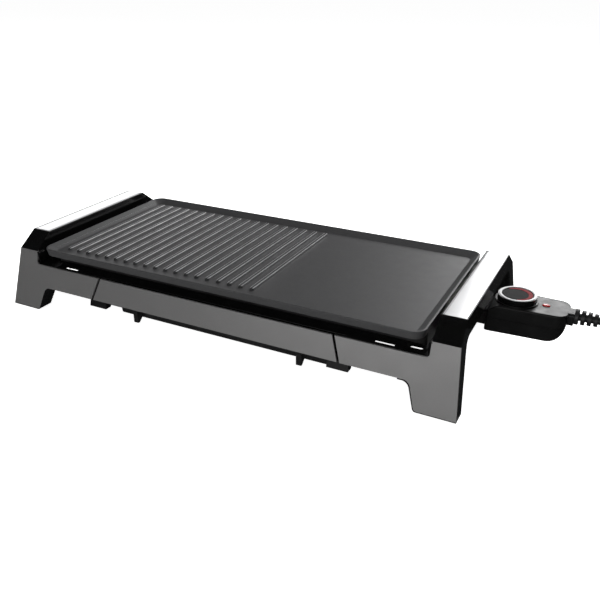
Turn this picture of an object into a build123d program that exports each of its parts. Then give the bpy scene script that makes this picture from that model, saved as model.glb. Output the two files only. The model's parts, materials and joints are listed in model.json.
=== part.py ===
"""Electric table griddle with a drip tray and a plug-in thermostat, in millimetres.

+X points to the thermostat side, -Y to the front and +Z up. The origin is on the table,
under the centre of the cooking plate.
"""

from build123d import *
from math import pi, radians, tan
import os

os.makedirs("parts", exist_ok=True)

# ------------------------------------------------------------------ driving dimensions
# End units: two bridges that stand on four legs.
TOP_Z = 93.0  # top of the aluminium strips
KINK_Z = 74.0  # where the leaning front meets the sloping facet
TOP_Y = 95.0  # half depth of the unit at the top
KINK_Y = 120.0  # half depth at the kink
FOOT_Y = 140.0  # half depth on the table
LEG_BACK_Y = 121.0  # rear edge of a leg on the table
ARCH_Y = 97.4  # where the rear edge of a leg would meet the arch
ARCH_Z = 73.5  # height of the arch between the legs of one unit
ARCH_R = 15.0
INNER_X = 261.0  # inner face of an end unit
TOP_OUT_X = 288.0  # outer edge at the top
KINK_OUT_X = 290.0
FOOT_OUT_X = 297.7
SOLE_Z = 1.0  # underside of the moulded leg, just above the table
SKIN = 2.6  # wall of the moulded black parts

# Front beam, between the legs.
BEAM_TOP = 57.5
BEAM_BOTTOM = 30.5
LEG_IN_TOP_X = 244.5  # inner edge of the leg panel, at the beam
LEG_IN_FOOT_X = 254.3  # and at the table
ARM_END_X = 232.0  # where the rail meets the end housing
PANEL = 2.0  # thickness of the grey panels
EDGE = 1.2  # black border left around them
SPLIT_TOP_X = 156.0  # half width of the middle panel, top and bottom
SPLIT_BOTTOM_X = 165.5
SPLIT_GAP = 3.0
NOTCH_R = 4.0

# Cooking plate.
PLATE_L = 504.0
PLATE_W = 242.0
PLATE_R = 14.0
RIM_Z = 80.0
RIM_FOOT_Z = 71.0
FLOOR_Z = 74.0
FLOOR_T = 4.0
FLOOR_L = 482.0
FLOOR_W = 218.0
RIBS = 19
RIB_PITCH = 15.06
FIRST_RIB_X = -227.0
RIB_FRONT_Y = -100.0
RIB_BACK_Y = 102.0
RIB_H = 3.0
RIB_W = 6.4

# Reflector pan and heater.
PAN_X = 249.0
PAN_Y = 99.7
PAN_Z = 52.0
PAN_TOP = 68.5
SHEET = 1.0
HEATER_Z = 61.0
HEATER_R = 3.25
PIN_Y = 12.5
PIN_R = 2.5

# Drip tray.
TRAY_X = 150.0
TRAY_FRONT_Y = -107.0
TRAY_BACK_Y = 100.0
TRAY_Z = 7.5
TRAY_RIM_Z = 29.5
TRAY_T = 1.2
RUNNER_X = 176.0
RUNNER_SHELF_Z = 28.0

# Plug-in thermostat.
BODY_NEAR_X = 290.6
BODY_FAR_X = 372.0
BODY_NEAR_Y = 25.0
BODY_FAR_Y = 21.0
BODY_BOTTOM = 49.0
BODY_TOP = 79.5
BODY_SPLIT = 64.5
BODY_SKIN = 2.0
NOSE_X = 256.0
NOSE_Y = 21.0
NOSE_LOW = 52.6
NOSE_HIGH = 70.0
DIAL_X = 317.8
DIAL_R = 20.3
DIAL_TOP = 87.4
LENS_X = 348.4
RELIEF_Z = 73.8
RELIEF_X = 378.0
RELIEF_END_X = 424.0
RELIEF_CORE_R = 4.2

# Mains lead.
LEAD_D = 7.0
COIL_X = 493.0
COIL_Y = -70.0
COIL_OUTER_R = 49.5  # line of the outermost turn
COIL_TURNS = 2.75  # turns in each of the two layers
COIL_TURN_GAP = 7.0
COIL_HIGH = 2 * LEAD_D

LEAN = (FOOT_Y - KINK_Y) / KINK_Z


def front_y(z, inset=0.0):
    """Y of the leaning front at height z, moved inwards by inset."""
    return -(FOOT_Y - LEAN * z) + inset


def outer_x(z):
    """X of the outer side of the right end unit at height z."""
    if z > KINK_Z:
        return KINK_OUT_X + (TOP_OUT_X - KINK_OUT_X) * (z - KINK_Z) / (TOP_Z - KINK_Z)
    return FOOT_OUT_X + (KINK_OUT_X - FOOT_OUT_X) * z / KINK_Z


def leg_in_x(z):
    """X of the inner edge of the right leg panel at height z."""
    return LEG_IN_FOOT_X + (LEG_IN_TOP_X - LEG_IN_FOOT_X) * z / BEAM_BOTTOM


def split_x(z):
    """Half width of the middle panel at height z."""
    return SPLIT_TOP_X + (SPLIT_BOTTOM_X - SPLIT_TOP_X) * (BEAM_TOP - z) / (BEAM_TOP - BEAM_BOTTOM)


def front_sheet(near, far, low, high):
    """Section of a sheet parallel to the front, from near to far behind it."""
    return [
        (front_y(low, near), low),
        (front_y(high, near), high),
        (front_y(high, far), high),
        (front_y(low, far), low),
    ]


def save(part, name):
    part.label = name
    export_step(part, f"parts/{name}.step")


# ------------------------------------------------------------------ aluminium top strips
STRIP_T = 1.5
STRIP_EDGE = 0.9  # black line left around the strip
STRIP_BEVEL = 1.9

with BuildPart() as right_top_strip:
    with BuildSketch(Plane.XY.offset(TOP_Z - STRIP_T)):
        with Locations(((INNER_X + TOP_OUT_X) / 2, 0)):
            Rectangle(TOP_OUT_X - INNER_X - 2 * STRIP_EDGE, 2 * TOP_Y - 2 * STRIP_EDGE)
    extrude(amount=STRIP_T)
    long_edges = right_top_strip.edges().filter_by(Axis.Y).group_by(Axis.Z)[-1]
    chamfer(long_edges, length=0.45, length2=STRIP_BEVEL)
save(right_top_strip.part, "right_top_strip")

with BuildPart() as left_top_strip:
    mirror(right_top_strip.part, about=Plane.YZ)
save(left_top_strip.part, "left_top_strip")


# ------------------------------------------------------------------ grey front and rear panels
PANEL_SOLE = 1.8

with BuildPart() as right_front_panel:
    with BuildSketch(Plane.XZ.offset(FOOT_Y + 5)) as outline:
        with BuildLine():
            Polyline(
                (outer_x(KINK_Z), KINK_Z),
                (outer_x(PANEL_SOLE), PANEL_SOLE),
                (leg_in_x(PANEL_SOLE), PANEL_SOLE),
                (leg_in_x(BEAM_BOTTOM), BEAM_BOTTOM),
                (split_x(BEAM_BOTTOM) + SPLIT_GAP, BEAM_BOTTOM),
                (split_x(BEAM_TOP) + SPLIT_GAP, BEAM_TOP),
                (INNER_X, BEAM_TOP),
                (INNER_X, KINK_Z),
                close=True,
            )
        make_face()
        fillet(outline.vertices().sort_by_distance((LEG_IN_TOP_X, BEAM_BOTTOM))[0], 8.5)
        fillet(outline.vertices().sort_by_distance((INNER_X, BEAM_TOP))[0], NOTCH_R)
        fillet(outline.vertices().sort_by_distance((LEG_IN_FOOT_X, PANEL_SOLE))[0], 4)
    extrude(amount=-60)
    with BuildSketch(Plane.YZ.offset(140)):
        Polygon(*front_sheet(0, PANEL, 0, KINK_Z), align=None)
    extrude(amount=170, mode=Mode.INTERSECT)
save(right_front_panel.part, "right_front_panel")

with BuildPart() as left_front_panel:
    mirror(right_front_panel.part, about=Plane.YZ)
save(left_front_panel.part, "left_front_panel")

with BuildPart() as right_rear_panel:
    mirror(right_front_panel.part, about=Plane.XZ)
save(right_rear_panel.part, "right_rear_panel")

with BuildPart() as left_rear_panel:
    mirror(left_front_panel.part, about=Plane.XZ)
save(left_rear_panel.part, "left_rear_panel")

with BuildPart() as tray_front_panel:
    with BuildSketch(Plane.XZ.offset(FOOT_Y + 5)):
        Polygon(
            (-split_x(BEAM_TOP), BEAM_TOP),
            (split_x(BEAM_TOP), BEAM_TOP),
            (split_x(BEAM_BOTTOM), BEAM_BOTTOM),
            (-split_x(BEAM_BOTTOM), BEAM_BOTTOM),
            align=None,
        )
    extrude(amount=-60)
    with BuildSketch(Plane.YZ.offset(-180)):
        Polygon(*front_sheet(0, PANEL, 20, BEAM_TOP), align=None)
    extrude(amount=360, mode=Mode.INTERSECT)
save(tray_front_panel.part, "tray_front_panel")

with BuildPart() as rear_centre_panel:
    mirror(tray_front_panel.part, about=Plane.XZ)
save(rear_centre_panel.part, "rear_centre_panel")


# ------------------------------------------------------------------ rubber feet
FOOT_X = 276.0
FOOT_MID_Y = 131.0

with BuildPart() as rubber_feet:
    with BuildSketch():
        with Locations([(sx * FOOT_X, sy * FOOT_MID_Y) for sx in (-1, 1) for sy in (-1, 1)]):
            RectangleRounded(32, 11, 3)
    extrude(amount=SOLE_Z + 1.5)
    fillet(rubber_feet.edges().group_by(Axis.Z)[0], 0.5)
save(rubber_feet.part, "rubber_feet")


# ------------------------------------------------------------------ end housings
LIP_X = 228.0  # inner edge of the ledge that carries the pan
SHELF_Y = 94.0  # half length of the ledge in an end housing
LIP_LOW = 49.5
PORT_Y = 26.0  # half width of the opening for the thermostat's nose
NOTCH_LIP = 3.0
SCREW_R = 1.5
PAN_SCREWS = [(sx * 240.0, sy * 90.0) for sx in (-1, 1) for sy in (-1, 1)]

with BuildPart() as hollow:
    with BuildSketch(Plane.YZ.offset(ARM_END_X)):
        Polygon(
            (front_y(4, PANEL + SKIN), 4),
            (front_y(72, PANEL + SKIN), 72),
            (-TOP_Y + 2, TOP_Z - STRIP_T - SKIN),
            (TOP_Y - 2, TOP_Z - STRIP_T - SKIN),
            (-front_y(72, PANEL + SKIN), 72),
            (-front_y(4, PANEL + SKIN), 4),
            align=None,
        )
    extrude(amount=80)
    with BuildSketch(Plane.XZ.offset(FOOT_Y + 5)):
        Polygon(
            (outer_x(TOP_Z) - SKIN, TOP_Z),
            (outer_x(KINK_Z) - SKIN, KINK_Z),
            (outer_x(4) - SKIN, 4),
            (leg_in_x(4) - EDGE + SKIN, 4),
            (leg_in_x(BEAM_BOTTOM) - EDGE + SKIN, BEAM_BOTTOM - EDGE + SKIN),
            (ARM_END_X + SKIN, BEAM_BOTTOM - EDGE + SKIN),
            (ARM_END_X + SKIN, BEAM_TOP - SKIN),
            (INNER_X + SKIN, BEAM_TOP - SKIN),
            (INNER_X + SKIN, TOP_Z),
            align=None,
        )
    extrude(amount=-2 * (FOOT_Y + 5), mode=Mode.INTERSECT)

with BuildPart() as end_housing:
    with BuildSketch(Plane.YZ.offset(ARM_END_X)) as side:
        with BuildLine():
            Polyline(
                (-LEG_BACK_Y, SOLE_Z),
                (front_y(SOLE_Z), SOLE_Z),
                (-KINK_Y, KINK_Z),
                (-TOP_Y, TOP_Z),
                (TOP_Y, TOP_Z),
                (KINK_Y, KINK_Z),
                (-front_y(SOLE_Z), SOLE_Z),
                (LEG_BACK_Y, SOLE_Z),
                (ARCH_Y, ARCH_Z),
                (-ARCH_Y, ARCH_Z),
                close=True,
            )
        make_face()
        fillet(side.vertices().sort_by_distance((-ARCH_Y, ARCH_Z))[0], ARCH_R)
        fillet(side.vertices().sort_by_distance((ARCH_Y, ARCH_Z))[0], ARCH_R)
    extrude(amount=80)
    with BuildSketch(Plane.XZ.offset(FOOT_Y + 5)) as face:
        with BuildLine():
            Polyline(
                (outer_x(TOP_Z), TOP_Z),
                (outer_x(KINK_Z), KINK_Z),
                (outer_x(SOLE_Z), SOLE_Z),
                (leg_in_x(SOLE_Z) - EDGE, SOLE_Z),
                (leg_in_x(BEAM_BOTTOM) - EDGE, BEAM_BOTTOM - EDGE),
                (ARM_END_X, BEAM_BOTTOM - EDGE),
                (ARM_END_X, BEAM_TOP),
                (INNER_X, BEAM_TOP),
                (INNER_X, TOP_Z),
                close=True,
            )
        make_face()
        fillet(face.vertices().sort_by_distance((LEG_IN_TOP_X, BEAM_BOTTOM))[0], 9)
        fillet(face.vertices().sort_by_distance((LEG_IN_FOOT_X, SOLE_Z))[0], 4)
    extrude(amount=-2 * (FOOT_Y + 5), mode=Mode.INTERSECT)
    add(hollow.part, mode=Mode.SUBTRACT)
    # Inner wall and the ledge that carries one end of the pan.
    with Locations(((INNER_X + SKIN / 2), 0, (LIP_LOW + 76) / 2)):
        Box(SKIN, 202, 76 - LIP_LOW)
    with Locations(((LIP_X + INNER_X + SKIN) / 2, 0, (LIP_LOW + PAN_Z) / 2)):
        Box(INNER_X + SKIN - LIP_X, 2 * SHELF_Y, PAN_Z - LIP_LOW)
    # Rounded black lip inside the notch over the front beam, and the same at the rear.
    for side_sign in (1, -1):
        notch = Plane.XZ.offset(side_sign * (KINK_Y + 0.5))
        with BuildSketch(notch) as lip:
            with Locations((INNER_X - NOTCH_LIP, BEAM_TOP - 1)):
                Rectangle(NOTCH_LIP + 1, KINK_Z - BEAM_TOP, align=(Align.MIN, Align.MIN))
            fillet(lip.vertices().sort_by_distance((INNER_X - NOTCH_LIP, KINK_Z))[0], 2)
        extrude(amount=-side_sign * 10)
    add(right_top_strip.part, mode=Mode.SUBTRACT)
    add(right_front_panel.part, mode=Mode.SUBTRACT)
    add(right_rear_panel.part, mode=Mode.SUBTRACT)
    add(rubber_feet.part, mode=Mode.SUBTRACT)
    with Locations([(x, y, LIP_LOW) for x, y in PAN_SCREWS if x > 0]):
        Cylinder(SCREW_R, 8, mode=Mode.SUBTRACT)
    # The top of the moulding, under the strip.
    with Locations((INNER_X + 13, 0, TOP_Z)):
        Box(40, 2 * TOP_Y + 4, 0.6, mode=Mode.SUBTRACT)

with BuildPart() as right_end_housing:
    add(end_housing.part)
    # Way in for the thermostat's nose.
    with Locations((INNER_X + SKIN / 2, 0, (PAN_Z + ARCH_Z) / 2)):
        Box(SKIN + 6, 2 * PORT_Y, ARCH_Z - PAN_Z, mode=Mode.SUBTRACT)
    # Vent in the front ledge, beside the plate's corner.
    with BuildSketch(Plane.XY.offset(BEAM_TOP)):
        with Locations((243, -108)):
            SlotOverall(15, 7)
    extrude(amount=-SKIN, mode=Mode.SUBTRACT)
save(right_end_housing.part, "right_end_housing")

with BuildPart() as left_end_housing:
    mirror(end_housing.part, about=Plane.YZ)
save(left_end_housing.part, "left_end_housing")


# ------------------------------------------------------------------ rails
WEB_Y = 100.5
LEDGE_FRONT_Y = 118.5
LIP_Y = 92.0
VENT_X = 211.0
VENT_Y = 114.0
RUNNER_SCREWS = [(sx * 166.0, sy * 97.5) for sx in (-1, 1) for sy in (-1, 1)]


def rail_core():
    """Ledge, web and lip of a rail, on the front side."""
    with BuildPart() as core:
        with BuildSketch(Plane.YZ.offset(-ARM_END_X)):
            Polygon(
                (-LEDGE_FRONT_Y, BEAM_TOP),
                (-WEB_Y, BEAM_TOP),
                (-WEB_Y, PAN_Z),
                (-LIP_Y, PAN_Z),
                (-LIP_Y, LIP_LOW),
                (-WEB_Y - SKIN, LIP_LOW),
                (-WEB_Y - SKIN, BEAM_TOP - SKIN),
                (-LEDGE_FRONT_Y, BEAM_TOP - SKIN),
                align=None,
            )
        extrude(amount=2 * ARM_END_X)
        # The lip stops where the end housing's ledge takes over.
        for sx in (-1, 1):
            with Locations((sx * (LIP_X + ARM_END_X) / 2, -WEB_Y + 3, PAN_Z - 1)):
                Box(ARM_END_X - LIP_X, 16, 6, mode=Mode.SUBTRACT)
        with BuildSketch(Plane.XY.offset(BEAM_TOP)):
            with Locations((-VENT_X, -VENT_Y), (VENT_X, -VENT_Y)):
                Rectangle(22, 6.4)
        extrude(amount=-SKIN, mode=Mode.SUBTRACT)
        # The web and lip are cut away behind the vents, so that air rises through them.
        with Locations([(sx * VENT_X, -WEB_Y + 2, LIP_LOW + 2) for sx in (-1, 1)]):
            Box(31, 14, 5, mode=Mode.SUBTRACT)
    return core.part


def beam_wall(inner_top, inner_bottom):
    """Wall behind the right-hand panel, from the given inner edge to the end housing."""
    low = BEAM_BOTTOM - EDGE
    with BuildPart() as wall:
        with BuildSketch(Plane.XZ.offset(FOOT_Y + 5)):
            Polygon(
                (inner_top, BEAM_TOP),
                (ARM_END_X, BEAM_TOP),
                (ARM_END_X, low),
                (inner_bottom, low),
                align=None,
            )
        extrude(amount=-60)
        with BuildSketch(Plane.YZ.offset(-ARM_END_X)):
            Polygon(*front_sheet(PANEL, PANEL + SKIN, low, BEAM_TOP), align=None)
        extrude(amount=2 * ARM_END_X, mode=Mode.INTERSECT)
    return wall.part


WALL_EDGE = SPLIT_GAP - EDGE
right_wall = beam_wall(SPLIT_TOP_X + WALL_EDGE, SPLIT_BOTTOM_X + WALL_EDGE)

with BuildPart() as front_rail:
    add(rail_core())
    add(right_wall)
    mirror(right_wall, about=Plane.YZ)
    # Ledge carried forward to meet the walls.
    for sx in (-1, 1):
        with Locations((sx * (170 + ARM_END_X) / 2, -119.6, BEAM_TOP - SKIN / 2)):
            Box(ARM_END_X - 170, 2.4, SKIN)
    with Locations([(x, y, LIP_LOW) for x, y in RUNNER_SCREWS if y < 0]):
        Cylinder(SCREW_R, 5, mode=Mode.SUBTRACT)
save(front_rail.part, "front_rail")

with BuildPart() as rear_rail:
    mirror(rail_core(), about=Plane.XZ)
    mirror(beam_wall(-ARM_END_X, -ARM_END_X), about=Plane.XZ)
    with Locations((0, 119.6, BEAM_TOP - SKIN / 2)):
        Box(2 * ARM_END_X, 2.4, SKIN)
    with Locations([(x, y, LIP_LOW) for x, y in RUNNER_SCREWS if y > 0]):
        Cylinder(SCREW_R, 5, mode=Mode.SUBTRACT)
save(rear_rail.part, "rear_rail")


# ------------------------------------------------------------------ drip tray runners
RUNNER_T = 2.5
TAB_IN_X = 151.2

with BuildPart() as right_tray_runner:
    with BuildSketch(Plane.XZ.offset(118)):
        Polygon(
            (RUNNER_X, RUNNER_SHELF_Z - 3),
            (RUNNER_X, LIP_LOW),
            (RUNNER_X - 16, LIP_LOW),
            (RUNNER_X - 16, LIP_LOW - RUNNER_T),
            (RUNNER_X - 4, LIP_LOW - RUNNER_T),
            (RUNNER_X - 4, RUNNER_SHELF_Z),
            (TAB_IN_X + 2, RUNNER_SHELF_Z),
            (TAB_IN_X + 2, RUNNER_SHELF_Z - 3),
            align=None,
        )
    extrude(amount=-118 - 112)
    # Front block, seen under the beam beside the split between the panels.
    with BuildSketch(Plane.YZ.offset(TAB_IN_X)):
        Polygon(*front_sheet(8, 18, 18, RUNNER_SHELF_Z), align=None)
    extrude(amount=RUNNER_X - TAB_IN_X)
    fillet(right_tray_runner.edges().filter_by(Axis.X).group_by(Axis.Z)[0], 1)
    with Locations([(x, y, LIP_LOW) for x, y in RUNNER_SCREWS if x > 0]):
        Cylinder(SCREW_R, 8, mode=Mode.SUBTRACT)
save(right_tray_runner.part, "right_tray_runner")

with BuildPart() as left_tray_runner:
    mirror(right_tray_runner.part, about=Plane.YZ)
save(left_tray_runner.part, "left_tray_runner")

with BuildPart() as runner_screws:
    for x, y in RUNNER_SCREWS:
        with BuildSketch(Plane.XY.offset(LIP_LOW - RUNNER_T - 2)):
            with Locations((x, y)):
                Circle(3)
        extrude(amount=2)
        with BuildSketch(Plane.XY.offset(LIP_LOW - RUNNER_T)):
            with Locations((x, y)):
                Circle(SCREW_R)
        extrude(amount=4.5)
        with Locations((x, y, LIP_LOW - RUNNER_T - 2)):
            Box(3.6, 0.8, 1.4, mode=Mode.SUBTRACT)
            Box(0.8, 3.6, 1.4, mode=Mode.SUBTRACT)
save(runner_screws.part, "runner_screws")


# ------------------------------------------------------------------ reflector pan
PADS = [(sx * 186.0, sy * 55.0) for sx in (-1, 1) for sy in (-1, 1)]
BLOCK_IN_X = 243.0
BLOCK_OUT_X = 254.0

with BuildPart() as reflector_pan:
    with BuildSketch(Plane.XY.offset(PAN_Z)):
        RectangleRounded(2 * PAN_X, 2 * PAN_Y, 8)
    extrude(amount=PAN_TOP - PAN_Z)
    with BuildSketch(Plane.XY.offset(PAN_Z + SHEET)):
        RectangleRounded(2 * (PAN_X - SHEET), 2 * (PAN_Y - SHEET), 7)
    extrude(amount=PAN_TOP, mode=Mode.SUBTRACT)
    # Opening for the terminal block.
    with Locations((PAN_X, 0, (PAN_Z + SHEET + PAN_TOP) / 2)):
        Box(14, 48, PAN_TOP - PAN_Z - SHEET, mode=Mode.SUBTRACT)
    # Pressed stiffening beads in the floor.
    with BuildSketch(Plane.XY.offset(PAN_Z + SHEET)):
        with Locations((-60, -55), (-60, 0), (-60, 55)):
            SlotOverall(220, 12)
    extrude(amount=1.2, taper=30)
    with Locations([(x, y, PAN_Z) for x, y in PAN_SCREWS]):
        Cylinder(SCREW_R, 6, mode=Mode.SUBTRACT)
save(reflector_pan.part, "reflector_pan")

with BuildPart() as pan_screws:
    for x, y in PAN_SCREWS:
        with BuildSketch(Plane.XY.offset(LIP_LOW - 0.5)):
            with Locations((x, y)):
                Circle(SCREW_R)
        extrude(amount=PAN_Z + SHEET - LIP_LOW + 0.5)
        with BuildSketch(Plane.XY.offset(PAN_Z + SHEET)):
            with Locations((x, y)):
                Circle(3)
        extrude(amount=2)
        with Locations((x, y, PAN_Z + SHEET + 2)):
            Box(3.6, 0.8, 1.4, mode=Mode.SUBTRACT)
            Box(0.8, 3.6, 1.4, mode=Mode.SUBTRACT)
save(pan_screws.part, "pan_screws")

with BuildPart() as plate_rest_pads:
    with BuildSketch(Plane.XY.offset(PAN_Z + SHEET)):
        with Locations(PADS):
            Circle(7)
    extrude(amount=FLOOR_Z - FLOOR_T - 0.3 - PAN_Z - SHEET)
    fillet(plate_rest_pads.edges().group_by(Axis.Z)[-1], 1)
save(plate_rest_pads.part, "plate_rest_pads")


# ------------------------------------------------------------------ heating element
HEATER_END_X = 236.0
LOOP_X = 218.0
LOOP_Y = 80.0
RETURN_Y = 28.0
RETURN_X = 140.0

with BuildPart() as heating_element:
    with BuildLine():
        FilletPolyline(
            (HEATER_END_X, PIN_Y, HEATER_Z),
            (LOOP_X - 10, PIN_Y, HEATER_Z),
            (LOOP_X - 10, LOOP_Y, HEATER_Z),
            (-LOOP_X, LOOP_Y, HEATER_Z),
            (-LOOP_X, RETURN_Y, HEATER_Z),
            (RETURN_X, RETURN_Y, HEATER_Z),
            (RETURN_X, -RETURN_Y, HEATER_Z),
            (-LOOP_X, -RETURN_Y, HEATER_Z),
            (-LOOP_X, -LOOP_Y, HEATER_Z),
            (LOOP_X - 10, -LOOP_Y, HEATER_Z),
            (LOOP_X - 10, -PIN_Y, HEATER_Z),
            (HEATER_END_X, -PIN_Y, HEATER_Z),
            radius=13,
        )
    with BuildSketch(Plane(origin=(HEATER_END_X, PIN_Y, HEATER_Z), z_dir=(-1, 0, 0))):
        Circle(HEATER_R)
    sweep()
save(heating_element.part, "heating_element")

CLAMPS = [(sx * 120.0, y) for sx in (-1, 0, 1) for y in (-LOOP_Y, LOOP_Y)]

with BuildPart() as element_clamps:
    # Strap that goes over the heater and stands on the pan on two feet.
    for x, y in CLAMPS:
        with BuildSketch(Plane.YZ.offset(x - 5)) as strap:
            with Locations((y, HEATER_Z)):
                Circle(HEATER_R + SHEET)
            with Locations((y, (PAN_Z + SHEET + HEATER_Z) / 2)):
                Rectangle(2 * (HEATER_R + SHEET), HEATER_Z - PAN_Z - SHEET)
            with Locations((y, PAN_Z + 1.5 * SHEET)):
                Rectangle(20, SHEET)
            with Locations((y, HEATER_Z)):
                Circle(HEATER_R, mode=Mode.SUBTRACT)
            with Locations((y, (PAN_Z + HEATER_Z) / 2)):
                Rectangle(2 * HEATER_R, HEATER_Z - PAN_Z, mode=Mode.SUBTRACT)
        extrude(amount=10)
save(element_clamps.part, "element_clamps")

with BuildPart() as terminal_block:
    with BuildSketch(Plane.YZ.offset(BLOCK_IN_X)):
        with Locations((0, 61)):
            RectangleRounded(46, 15, 3)
        with Locations((-PIN_Y, HEATER_Z), (PIN_Y, HEATER_Z)):
            Circle(PIN_R, mode=Mode.SUBTRACT)
        with Locations((0, HEATER_Z)):
            Circle(4.2, mode=Mode.SUBTRACT)
    extrude(amount=BLOCK_OUT_X - BLOCK_IN_X)
save(terminal_block.part, "terminal_block")

with BuildPart() as terminal_pins:
    with BuildSketch(Plane.YZ.offset(HEATER_END_X)):
        with Locations((-PIN_Y, HEATER_Z), (PIN_Y, HEATER_Z)):
            Circle(PIN_R)
    extrude(amount=272 - HEATER_END_X)
    chamfer(terminal_pins.edges().group_by(Axis.X)[-1], 0.8)
save(terminal_pins.part, "terminal_pins")

with BuildPart() as terminal_guard:
    # Sheet shroud around the pins, fixed to the block, open towards the thermostat.
    with BuildSketch(Plane.YZ.offset(BLOCK_OUT_X)):
        with Locations((0, 61.4)):
            RectangleRounded(46, 19.4, 3)
        with Locations((0, 61.4)):
            RectangleRounded(44, 18.2, 2.4, mode=Mode.SUBTRACT)
    extrude(amount=6.5)
    with BuildSketch(Plane.YZ.offset(BLOCK_OUT_X)):
        with Locations((0, 61.4)):
            RectangleRounded(46, 19.4, 3)
        with Locations((-PIN_Y, HEATER_Z), (PIN_Y, HEATER_Z)):
            Circle(PIN_R + 1, mode=Mode.SUBTRACT)
        with Locations((0, HEATER_Z)):
            Circle(4.2, mode=Mode.SUBTRACT)
    extrude(amount=0.8)
    # Open underneath, where it stands on the ledge.
    with Locations((BLOCK_OUT_X, 0, PAN_Z + 0.1)):
        Box(20, 60, 4, align=(Align.CENTER, Align.CENTER, Align.MAX), mode=Mode.SUBTRACT)
save(terminal_guard.part, "terminal_guard")

with BuildPart() as earth_strap:
    with BuildSketch(Plane.XZ.offset(34)):
        Polygon(
            (PAN_X - SHEET - 16, PAN_Z + SHEET),
            (PAN_X - SHEET, PAN_Z + SHEET),
            (PAN_X - SHEET, PAN_TOP - 4),
            (PAN_X - SHEET - 0.8, PAN_TOP - 4),
            (PAN_X - SHEET - 0.8, PAN_Z + SHEET + 0.8),
            (PAN_X - SHEET - 16, PAN_Z + SHEET + 0.8),
            align=None,
        )
    extrude(amount=8)
save(earth_strap.part, "earth_strap")


# ------------------------------------------------------------------ cooking plate
PROBE_R = 3.1
BOSS_IN_X = 172.0
BOSS_OUT_X = 234.0
BOSS_W = 11.0
BOSS_Z = HEATER_Z + PROBE_R + 0.2
BOSS_TOP_Z = FLOOR_Z - FLOOR_T + 0.2

with BuildPart() as cooking_plate:
    with BuildSketch(Plane.XY.offset(RIM_FOOT_Z)):
        RectangleRounded(PLATE_L - 3, PLATE_W - 3, PLATE_R - 1)
    with BuildSketch(Plane.XY.offset(RIM_Z)):
        RectangleRounded(PLATE_L, PLATE_W, PLATE_R)
    loft()
    fillet(cooking_plate.edges().group_by(Axis.Z)[-1], 0.9)
    with BuildSketch(Plane.XY.offset(FLOOR_Z - FLOOR_T)):
        RectangleRounded(FLOOR_L, FLOOR_W, 10)
    extrude(amount=2)
    with BuildSketch(Plane.XY.offset(FLOOR_Z)):
        RectangleRounded(FLOOR_L, FLOOR_W, 7)
    with BuildSketch(Plane.XY.offset(RIM_Z + 0.1)):
        RectangleRounded(PLATE_L - 4.4, PLATE_W - 4.4, PLATE_R - 2.2)
    loft(mode=Mode.SUBTRACT)
    # Ribs over the grill half.
    for rib in range(RIBS):
        with BuildSketch(Plane.XY.offset(FLOOR_Z)):
            with Locations((FIRST_RIB_X + rib * RIB_PITCH, (RIB_FRONT_Y + RIB_BACK_Y) / 2)):
                SlotOverall(RIB_BACK_Y - RIB_FRONT_Y, RIB_W, rotation=90)
        extrude(amount=RIB_H, taper=20)
    # Boss under the plate that lies on the sensing probe.
    with Locations(((BOSS_IN_X + BOSS_OUT_X) / 2, 0, (BOSS_Z + BOSS_TOP_Z) / 2)):
        Box(BOSS_OUT_X - BOSS_IN_X, BOSS_W, BOSS_TOP_Z - BOSS_Z)
save(cooking_plate.part, "cooking_plate")


# ------------------------------------------------------------------ drip tray
TRAY_FLANGE_X = 165.0
LUG_X = 113.0
TRAY_SCREWS = [(x, -121.0) for x in (-74.0, 0.0, 74.0)]

with BuildPart() as drip_tray:
    with BuildSketch(Plane.XY.offset(TRAY_Z)):
        with Locations((0, (TRAY_FRONT_Y + TRAY_BACK_Y) / 2)):
            RectangleRounded(2 * TRAY_X - 6, TRAY_BACK_Y - TRAY_FRONT_Y - 3, 6)
    with BuildSketch(Plane.XY.offset(TRAY_RIM_Z)):
        with Locations((0, (TRAY_FRONT_Y + TRAY_BACK_Y) / 2)):
            RectangleRounded(2 * TRAY_X, TRAY_BACK_Y - TRAY_FRONT_Y, 8)
    loft()
    # Flange that hangs on the runners, and the shelf that carries the front.
    with Locations((0, (TRAY_FRONT_Y + TRAY_BACK_Y - 6) / 2, TRAY_RIM_Z - TRAY_T / 2)):
        Box(2 * TRAY_FLANGE_X, TRAY_BACK_Y - TRAY_FRONT_Y - 6, TRAY_T)
    with Locations((0, (TRAY_FRONT_Y - 129) / 2 + 4, TRAY_RIM_Z - TRAY_T / 2)):
        Box(290, TRAY_FRONT_Y + 129 + 8, TRAY_T)
    with BuildSketch(Plane.XY.offset(TRAY_Z + TRAY_T)):
        with Locations((0, (TRAY_FRONT_Y + TRAY_BACK_Y) / 2)):
            RectangleRounded(2 * TRAY_X - 6 - 2 * TRAY_T, TRAY_BACK_Y - TRAY_FRONT_Y - 3 - 2 * TRAY_T, 5)
    with BuildSketch(Plane.XY.offset(TRAY_RIM_Z + 0.1)):
        with Locations((0, (TRAY_FRONT_Y + TRAY_BACK_Y) / 2)):
            RectangleRounded(2 * TRAY_X - 2 * TRAY_T, TRAY_BACK_Y - TRAY_FRONT_Y - 2 * TRAY_T, 7)
    loft(mode=Mode.SUBTRACT)
    # Two lugs under the front edge, which stop the tray from tipping as it is drawn out.
    for sx in (-1, 1):
        with BuildSketch(Plane.YZ.offset(sx * LUG_X - 3.2)):
            Polygon(
                (-117, TRAY_RIM_Z - TRAY_T),
                (-117, 4.6),
                (-114, 4.2),
                (TRAY_FRONT_Y + 3, 13),
                (TRAY_FRONT_Y + 0.6, TRAY_RIM_Z - TRAY_T),
                align=None,
            )
        extrude(amount=6.4)
    with Locations([(x, y, TRAY_RIM_Z) for x, y in TRAY_SCREWS]):
        Cylinder(SCREW_R, 6, mode=Mode.SUBTRACT)
save(drip_tray.part, "drip_tray")

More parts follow.
